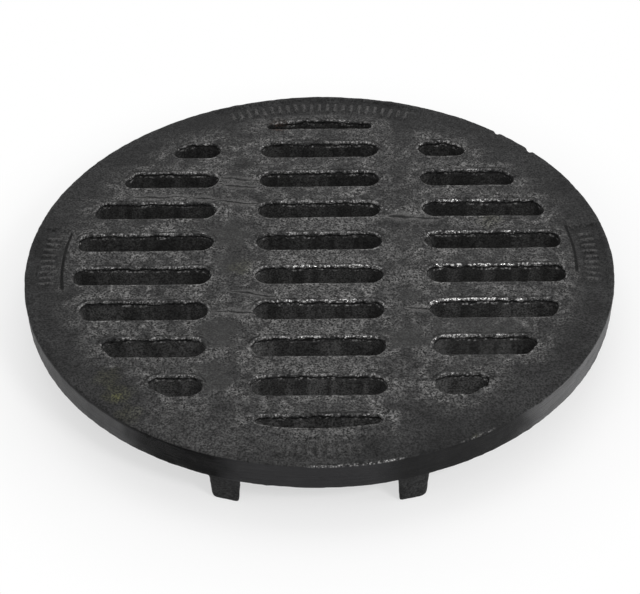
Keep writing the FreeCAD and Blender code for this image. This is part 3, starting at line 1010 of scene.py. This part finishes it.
class SkinMasks:
    """Masks of the casting's skin: where it is worn, pitted, dark, bright or streaked, and where light, shade and
    highlights are painted.
    """

    def __init__(self, nodes: Nodes, effects: SharedEffects, coat: WornCoat) -> None:
        """Builds the masks in a material.

        Args:
            nodes: The material's nodes.
            effects: The shared node groups.
            coat: The finish, whose seams and spots are needed.
        """
        self.nodes = nodes
        self.effects = effects
        self.place = nodes.add("TexCoord").outputs["Object"]
        self.flat = nodes.vector("MULTIPLY", self.place, (1, 1, 0))
        axes = nodes.add("SeparateXYZ")
        nodes.feed(axes.inputs[0], self.place)
        self.depth = nodes.math("SUBTRACT", PLAN.top, axes.outputs["Z"])
        self.radius = nodes.vector("LENGTH", self.flat)
        turn = nodes.math("ARCTAN2", axes.outputs["Y"], axes.outputs["X"])
        drift = nodes.math("SUBTRACT", nodes.noise(self.place, 30, 2, 0.6), 0.5)
        self.bearing = nodes.math("MULTIPLY_ADD", turn, 57.29578, nodes.math("MULTIPLY", drift, 9.0))
        self.slot = self.read(SkinMap.SLOT)
        self.brim = nodes.math("ABSOLUTE", self.slot)
        self.far = self.read(SkinMap.FAR)
        self.relief = self.read(SkinMap.RELIEF)
        upright = nodes.add("SeparateXYZ")
        nodes.feed(upright.inputs[0], nodes.add("NewGeometry").outputs["Normal"])
        self.facing_up = nodes.ramp(upright.outputs["Z"], 0.35, 0.8)
        # Walls facing -X, the right ends of the slots, come out darker: painted shade.
        self.ends = nodes.ramp(upright.outputs["X"], -0.95, -0.25, 0.25, 1.0)
        # Towards the front: where the slot walls take painted light.
        self.front_painted_light = nodes.ramp(axes.outputs["Y"], 0.05, -0.15)
        self.back = nodes.ramp(self.far, 0.68, 0.93)
        self.stir = nodes.noise(self.place, 80, 3, 0.7, 0.5)
        self.slow = nodes.noise(self.place, 95, 2, 0.6)
        self.chips = self.flecks(640.0, 0.62, 0.80)
        self.mark_rim()
        self.mark_wear(coat)
        self.mark_lips(coat)
        self.mark_seams(coat)

    def mark_rim(self) -> None:
        """The rim's side, its drag lines, a dull stretch of painted shade, the painted shade along the inner steps
        of the sunk fields, the painted highlight dots on the rim's upper edge and the painted shadow under that
        edge.
        """
        nodes = self.nodes
        self.side = nodes.math("MULTIPLY", nodes.ramp(self.radius, 0.2462, 0.2478),
                               nodes.math("SUBTRACT", 1.0, self.facing_up))
        self.open_skin = nodes.math("SUBTRACT", 1.0, nodes.math("MULTIPLY", self.side, 0.93))
        # Metallic over the darkest stretch of the rim's side: with its near-black colour it takes the sheen away,
        # more painted shade.
        self.scale = nodes.math("MULTIPLY", self.sector(-113.0, 6.0, 7.0), self.side)
        self.relief_wear = nodes.math("MULTIPLY_ADD", self.sector(-90.0, 11.0, 1.0), -0.20, 0.34)
        stretch = nodes.vector("MULTIPLY", self.place, (30.0, 30.0, 1500.0))
        self.drag = nodes.ramp(nodes.noise(stretch, 1.0, 3, 0.7), 0.35, 0.65)
        # A dark line along the inner step of the left and right sunk fields: painted shade.
        from_step = nodes.math("ABSOLUTE", nodes.math("SUBTRACT", self.radius, PLAN.panel_inner - 0.0006))
        sides = self.join([self.sector(179.5, 10.0, 1.5), self.sector(2.5, 8.0, 2.0)])
        step_shade = nodes.math("MULTIPLY", nodes.ramp(from_step, 0.0018, 0.0010), sides)
        self.step_shade = nodes.math("MULTIPLY", step_shade, nodes.math("SUBTRACT", 1.0, self.side))
        # Metallic uncoated dots on the front of the rim's upper edge, where a highlight falls: painted highlight.
        brink_highlight = nodes.math("MULTIPLY", nodes.ramp(self.radius, 0.2478, 0.2488),
                           nodes.ramp(self.depth, 0.0019, 0.0008))
        dots = nodes.math("MAXIMUM", nodes.math("MULTIPLY", self.sector(-83.5, 6.5, 2.0), 0.65),
                          nodes.math("MULTIPLY", self.sector(-61.0, 2.5, 2.0), 0.35))
        dots = nodes.math("MULTIPLY", self.chips, dots)
        self.brink_highlight = nodes.math("MULTIPLY", brink_highlight, dots)
        # A dark line on the left of the rim's side, just under its upper edge: painted shadow.
        self.under_brink_shade = nodes.math("MULTIPLY", nodes.ramp(self.depth, 0.0042, 0.0022),
                                      nodes.math("MULTIPLY", self.sector(-150.0, 26.0, 5.0), 0.8))

    def mark_wear(self, coat: WornCoat) -> None:
        """Where the coat is dusty, smooth, coarse or pitted, and the slot walls' bands with painted shade at their
        right ends.

        Args:
            coat: The finish.
        """
        nodes = self.nodes
        self.cloud = nodes.ramp(nodes.noise(self.place, 26, 3, 0.65, 0.4), 0.30, 0.70)
        self.grain = nodes.noise(self.place, 620, 2, 0.65)
        self.mottle = nodes.noise(self.place, 240, 2, 0.60)
        self.speckled = nodes.ramp(self.grain, 0.42, 0.58, 0.30, 1.60)
        self.smooth = self.join([self.spot(spot) for spot in coat.smooth])
        self.crumbled = self.join([self.spot(spot) for spot in coat.crumbled])
        near = nodes.math("MULTIPLY", nodes.ramp(self.slot, 34.0, 6.0),
                          nodes.ramp(self.radius, 0.238, 0.200, 0.22, 1.0))
        smear = nodes.ramp(nodes.noise(self.place, 44, 3, 0.62, 0.8), 0.36, 0.62, 0.35, 1.30)
        patch = nodes.math("MULTIPLY", nodes.ramp(self.stir, 0.36, 0.66, 0.18, 0.82), smear)
        edge = nodes.math("MULTIPLY", nodes.ramp(self.slot, 2.6, 0.8, 0.0, 0.45),
                          nodes.ramp(self.slow, 0.42, 0.60))
        edge = nodes.math("MULTIPLY", edge, nodes.math("MULTIPLY_ADD", self.back, -0.9, 1.0))
        dusty = self.join([self.spot(spot) for spot in coat.dusty])
        patch = nodes.math("MULTIPLY", patch, nodes.math("MULTIPLY_ADD", dusty, -0.55, 1.0))
        dusty = nodes.math("MULTIPLY", dusty, nodes.ramp(self.stir, 0.30, 0.60, 0.34, 0.54))
        share = nodes.math("SUBTRACT", 1.0, nodes.math("MULTIPLY", self.smooth, 0.8))
        bare_lip = nodes.math("MULTIPLY", self.back, nodes.ramp(self.brim, 2.8, 1.4))
        share = nodes.math("MULTIPLY", share, nodes.math("MULTIPLY_ADD", bare_lip, -0.55, 1.0))
        worn = nodes.math("MULTIPLY_ADD", nodes.math("ADD", patch, edge), near, dusty)
        worn = nodes.math("MULTIPLY", worn, nodes.math("MULTIPLY", self.facing_up, share))
        crumbs = nodes.math("MULTIPLY", self.crumbled, self.flecks(330.0, 0.55, 0.50))
        self.crumbs = nodes.math("MULTIPLY", crumbs, self.facing_up)
        self.worn = nodes.math("MULTIPLY", worn, 0.9, clamp=True)
        depth = nodes.ramp(self.depth, 0.0025, 0.0065)
        self.wall = nodes.math("MULTIPLY", depth, nodes.ramp(self.slot, 5.0, 2.0))
        upright = nodes.vector("MULTIPLY", self.place, (75.0, 75.0, 8.0))
        bands = nodes.ramp(nodes.noise(upright, 1.0, 2, 0.6), 0.36, 0.64, 0.55, 1.35)
        # Wall bands times the painted shade on walls facing -X.
        self.wall_bands_and_shade = nodes.math("MULTIPLY", bands, self.ends)
        coarse = nodes.math("MULTIPLY_ADD", self.worn, 0.50, 0.58)
        coarse = nodes.math("MULTIPLY_ADD", self.smooth, -0.32, coarse)
        self.coarse = nodes.math("MULTIPLY", coarse, self.open_skin)

    def mark_lips(self, coat: WornCoat) -> None:
        """The slots' far lips: a line of uncoated iron, made stronger where the glints fall, so partly wear and
        partly painted highlight; a painted shade line under it and another on the top face behind it; and a crumbly
        second line.

        Args:
            coat: The finish.
        """
        nodes = self.nodes
        wavering = nodes.math("MULTIPLY_ADD", nodes.math("SUBTRACT", self.slow, 0.5), 0.0050, self.depth)
        back = self.back
        self.lip = nodes.math("MULTIPLY", nodes.ramp(self.brim, 3.0, 1.0), nodes.ramp(self.depth, 0.0075, 0.0035))
        self.lip = nodes.math("MULTIPLY", self.lip, nodes.math("MULTIPLY_ADD", back, 0.9, 0.1))
        rubbed_and_glint = self.join([self.spot(spot) for spot in coat.rubbed_and_glint])
        ridge = nodes.math("MULTIPLY", nodes.ramp(wavering, 0.0024, 0.0014), nodes.ramp(self.brim, 2.0, 1.0))
        ridge = nodes.math("MULTIPLY", ridge, nodes.math("MULTIPLY", back, nodes.ramp(self.stir, 0.36, 0.54)))
        # The lip line, stronger where the glints fall: partly wear, partly painted highlight.
        line = nodes.math("MULTIPLY", ridge, nodes.math("MULTIPLY_ADD", rubbed_and_glint, 1.50, 0.55))
        line = nodes.math("MULTIPLY", line, nodes.math("MULTIPLY_ADD", self.chips, 1.30, 0.04), clamp=True)
        ledge = nodes.math("MULTIPLY", nodes.ramp(wavering, 0.0034, 0.0040), nodes.ramp(wavering, 0.0064, 0.0052))
        ledge = nodes.math("MULTIPLY", ledge, nodes.math("MULTIPLY", back, nodes.ramp(self.brim, 3.5, 2.0)))
        crumbs = nodes.math("MULTIPLY", self.flecks(430.0, 0.55, 0.75), nodes.ramp(self.stir, 0.42, 0.58))
        ledge = nodes.math("MULTIPLY", ledge, nodes.math("MULTIPLY_ADD", rubbed_and_glint, 0.35, 0.65))
        ledge = nodes.math("MULTIPLY", ledge, nodes.math("MULTIPLY", crumbs, 1.5), clamp=True)
        # A dark line on the far wall just under the lip: painted shade.
        gap = nodes.math("MULTIPLY", nodes.ramp(wavering, 0.0020, 0.0026), nodes.ramp(wavering, 0.0040, 0.0033))
        gap = nodes.math("MULTIPLY", gap, nodes.math("MULTIPLY", back, nodes.ramp(self.brim, 3.5, 2.0)))
        specks = nodes.math("MULTIPLY_ADD", self.crumbled, 0.9, nodes.math("MULTIPLY", self.worn, 0.45))
        specks = nodes.math("MULTIPLY", self.flecks(520.0, 0.40, 0.34), specks)
        # Uncoated iron: real flecks and crumbs, with the painted highlights of the lips and the rim's upper edge.
        self.bright = self.join([line, ledge, self.brink_highlight, specks])
        pitted = nodes.math("MULTIPLY_ADD", self.lip, 0.5, nodes.math("MULTIPLY", self.coarse, 0.6))
        pitted = nodes.math("MULTIPLY", self.flecks(300.0, 0.40, 0.36), pitted, clamp=True)
        # A thin dark line on the top face just behind the far lip: painted shade.
        crest = nodes.math("MULTIPLY", nodes.ramp(self.brim, 4.2, 3.3), nodes.ramp(self.brim, 1.9, 2.6))
        crest = nodes.math("MULTIPLY", crest, nodes.math("MULTIPLY", back, self.facing_up))
        crest = nodes.math("MULTIPLY", crest, nodes.ramp(self.slow, 0.40, 0.56))
        holes = nodes.math("MULTIPLY", self.crumbled, self.flecks(270.0, 0.60, 0.55))
        # Pitted flecks and holes in the skin, with the painted shade lines of the lips.
        self.pits_and_shade = self.join([pitted, holes, nodes.math("MULTIPLY", gap, 0.92), nodes.math("MULTIPLY", crest, 0.7)])

    def mark_seams(self, coat: WornCoat) -> None:
        """The wandering flow seams with their raised banks.

        Args:
            coat: The finish.
        """
        nodes = self.nodes
        slow = nodes.add("TexNoise")
        nodes.feed(slow.inputs["Vector"], self.place)
        slow.inputs["Scale"].default_value = 70.0
        slow.inputs["Detail"].default_value = 2.0
        waver = nodes.add("VectorMath", operation="SCALE")
        nodes.feed(waver.inputs[0], nodes.vector("SUBTRACT", slow.outputs["Color"], (0.5, 0.5, 0.5)))
        waver.inputs["Scale"].default_value = 0.007
        wavering = nodes.vector("ADD", self.flat, nodes.vector("MULTIPLY", waver.outputs[0], (1, 1, 0)))
        traces = [self.group(self.effects.seam, Vector=wavering, Start=(*seam.start, 0),
                             End=(*seam.end, 0), Width=seam.width) for seam in coat.seams]
        line = self.join([node.outputs["Line"] for node in traces])
        bank = self.join([node.outputs["Bank"] for node in traces])
        self.line = nodes.math("MULTIPLY", line, self.facing_up)
        self.bank = nodes.math("MULTIPLY", nodes.math("MULTIPLY", bank, self.facing_up),
                               nodes.math("MULTIPLY_ADD", self.chips, 0.8, 0.40))

    def read(self, skin_map: SkinMap) -> bpy.types.NodeSocket:
        """Reads a number stored on the skin.

        Args:
            skin_map: Which one.

        Returns:
            Its value.
        """
        return self.nodes.add("Attribute", attribute_name=skin_map.value).outputs["Fac"]

    def join(self, masks: list[bpy.types.NodeSocket]) -> bpy.types.NodeSocket:
        """The largest of several masks.

        Args:
            masks: At least one.

        Returns:
            One mask.
        """
        result = masks[0]
        for mask in masks[1:]:
            result = self.nodes.math("MAXIMUM", result, mask)
        return result

    def group(self, tree: bpy.types.NodeTree, **values: object) -> bpy.types.Node:
        """Places a shared group and sets its inputs.

        Args:
            tree: The group.
            values: Inputs by name.

        Returns:
            The group node.
        """
        node = self.nodes.tree.nodes.new("ShaderNodeGroup")
        node.node_tree = tree
        for name, value in values.items():
            self.nodes.feed(node.inputs[name], value)
        return node

    def flecks(self, scale: float, share: float, size: float) -> bpy.types.NodeSocket:
        """Small uneven spots all over.

        Args:
            scale: Cells to the metre.
            share: Share of the cells that hold a fleck.
            size: How far a fleck reaches in its cell.

        Returns:
            A mask.
        """
        node = self.group(self.effects.flecks, Vector=self.place, Scale=scale, Share=share, Size=size)
        return node.outputs["Mask"]

    def sector(self, middle: float, half: float, soft: float) -> bpy.types.NodeSocket:
        """A sector of the plan.

        Args:
            middle: Bearing of its middle, in degrees.
            half: Degrees to each side.
            soft: Degrees over which it fades out.

        Returns:
            A mask.
        """
        node = self.group(self.effects.sector, Bearing=self.bearing, Middle=middle, Half=half, Soft=soft)
        return node.outputs["Mask"]

    def spot(self, spot: Spot) -> bpy.types.NodeSocket:
        """A soft round place with an uneven edge.

        Args:
            spot: Its place, size and strength.

        Returns:
            A mask.
        """
        nodes = self.nodes
        away = nodes.vector("DISTANCE", self.flat, (*spot.place, 0))
        uneven = nodes.math("MULTIPLY_ADD", self.slow, spot.size * 1.6, away)
        mask = nodes.ramp(uneven, spot.size * spot.fade, spot.size * 1.3)
        return nodes.math("MULTIPLY", mask, spot.strength)


# Studio


@dataclass(frozen=True)
class Softbox:
    """A rectangular studio light."""

    name: str
    place: tuple[float, float, float]
    aim: tuple[float, float, float]
    width: float
    height: float
    power: float

    def build(self) -> None:
        """Adds the light."""
        bpy.ops.object.light_add(type="AREA", location=self.place)
        lamp = bpy.context.active_object
        lamp.name = self.name
        lamp.data.shape = "RECTANGLE"
        lamp.data.size = self.width
        lamp.data.size_y = self.height
        lamp.data.energy = self.power
        look = Vector(self.aim) - Vector(self.place)
        lamp.rotation_euler = look.to_track_quat("-Z", "Y").to_euler()


@dataclass
class Studio:
    """Plain pale floor, soft light and the camera."""

    floor_color: Color = (0.8, 0.8, 0.8)
    world_light: float = 0.45
    focal_pixels: float = 1744.15
    image_width: int = 640
    elevation: float = 0.6934
    distance: float = 5.785
    yaw: float = -0.0121
    roll: float = -0.0171
    offset: Point = (0.0010, -0.2110)
    lights: list[Softbox] = field(default_factory=lambda: [
        Softbox("overhead", (0.0, 0.9, 1.9), (0, 0, 0), 1.8, 1.2, 16),
        Softbox("front_right", (0.95, -1.15, 1.35), (0, 0, 0), 0.45, 0.35, 13),
        Softbox("right_low", (1.7, -0.35, 0.35), (0.2, -0.1, 0.03), 0.5, 0.4, 8),
        Softbox("left_low", (-1.7, -0.35, 0.35), (-0.2, -0.1, 0.03), 0.5, 0.4, 4),
    ])

    def build(self) -> None:
        """Builds floor, world, lights and camera."""
        self.build_floor()
        self.build_world()
        for light in self.lights:
            light.build()
        self.build_camera()

    def build_floor(self) -> None:
        """A large plain floor under the lugs. Away from the grate the camera and reflections see
        it plain white; near the grate it keeps the shadow. From below it is clear."""
        bpy.ops.mesh.primitive_plane_add(size=14, location=(0, 0, 0))
        floor = bpy.context.active_object
        floor.name = "studio_floor"
        material = bpy.data.materials.new("studio_floor")
        material.use_nodes = True
        material.node_tree.nodes.clear()
        nodes = Nodes(material.node_tree)
        place = nodes.add("TexCoord").outputs["Object"]
        away = nodes.ramp(nodes.vector("LENGTH", place), 0.21, 0.38, 0.60, 1.0)
        seen = self.seen_directly(nodes)
        glow = nodes.add("Emission")
        glow.inputs["Color"].default_value = (1, 1, 1, 1)
        glow.inputs["Strength"].default_value = 1.0
        diffuse = nodes.add("BsdfDiffuse")
        diffuse.inputs["Color"].default_value = (*self.floor_color, 1)
        mix = nodes.add("MixShader")
        nodes.feed(mix.inputs[0], nodes.math("MULTIPLY", seen, away))
        nodes.feed(mix.inputs[1], diffuse.outputs[0])
        nodes.feed(mix.inputs[2], glow.outputs[0])
        clear = nodes.add("MixShader")
        nodes.feed(clear.inputs[0], nodes.add("NewGeometry").outputs["Backfacing"])
        nodes.feed(clear.inputs[1], mix.outputs[0])
        nodes.feed(clear.inputs[2], nodes.add("BsdfTransparent").outputs[0])
        output = nodes.add("OutputMaterial")
        nodes.feed(output.inputs["Surface"], clear.outputs[0])
        floor.data.materials.append(material)

    @staticmethod
    def seen_directly(nodes: Nodes) -> bpy.types.NodeSocket:
        """Marks what the camera sees itself, in a reflection or through something clear.

        Args:
            nodes: The nodes of the floor's material or of the world.

        Returns:
            1 for such rays, 0 for the light that falls on the object.
        """
        path = nodes.add("LightPath")
        mirrored = nodes.math("MAXIMUM", path.outputs["Is Glossy Ray"], path.outputs["Is Transmission Ray"])
        return nodes.math("MAXIMUM", path.outputs["Is Camera Ray"], mirrored)

    def build_world(self) -> None:
        """Even soft light from all round, and plain white where the camera looks past the floor."""
        world = bpy.data.worlds.new("studio")
        bpy.context.scene.world = world
        world.use_nodes = True
        world.node_tree.nodes.clear()
        nodes = Nodes(world.node_tree)
        seen = self.seen_directly(nodes)
        soft = nodes.add("Background")
        soft.inputs["Color"].default_value = (1, 1, 1, 1)
        soft.inputs["Strength"].default_value = self.world_light
        white = nodes.add("Background")
        white.inputs["Color"].default_value = (1, 1, 1, 1)
        white.inputs["Strength"].default_value = 1.0
        mix = nodes.add("MixShader")
        nodes.feed(mix.inputs[0], seen)
        nodes.feed(mix.inputs[1], soft.outputs[0])
        nodes.feed(mix.inputs[2], white.outputs[0])
        output = nodes.add("OutputWorld")
        nodes.feed(output.inputs["Surface"], mix.outputs[0])

    def build_camera(self) -> None:
        """The photograph's view, from a fit in units of the rim's radius."""
        look = Vector((0, math.cos(self.elevation), -math.sin(self.elevation)))
        level = Vector((1, 0, 0))
        up = level.cross(look)
        right = math.cos(self.roll) * level + math.sin(self.roll) * up
        above = -math.sin(self.roll) * level + math.cos(self.roll) * up
        place = (-look * self.distance + Vector((*self.offset, 0))) * PLAN.rim_radius
        turn = Matrix.Rotation(-self.yaw, 3, "Z")
        axes = Matrix((turn @ right, turn @ above, turn @ -look)).transposed()
        data = bpy.data.cameras.new("camera")
        data.sensor_width = 36.0
        data.lens = self.focal_pixels / self.image_width * data.sensor_width
        camera = bpy.data.objects.new("camera", data)
        camera.matrix_world = (Matrix.Translation(turn @ place + Vector((0, 0, PLAN.top)))
                               @ axes.to_4x4())
        bpy.context.scene.collection.objects.link(camera)
        bpy.context.scene.camera = camera


def main() -> None:
    """Builds the casting, its finish and the studio."""
    logging.basicConfig(level=logging.INFO)
    bpy.context.scene.view_settings.view_transform = "Standard"
    effects = SharedEffects()
    coat = WornCoat()
    casting = Casting().build()
    casting.data.materials.clear()
    casting.data.materials.append(coat.make(effects))
    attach(casting, "root")
    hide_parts("grate")
    LOG.info("casting: %d faces", len(casting.data.polygons))
    Studio().build()
    LOG.info("studio ready")


if __name__ == "__main__":
    main()
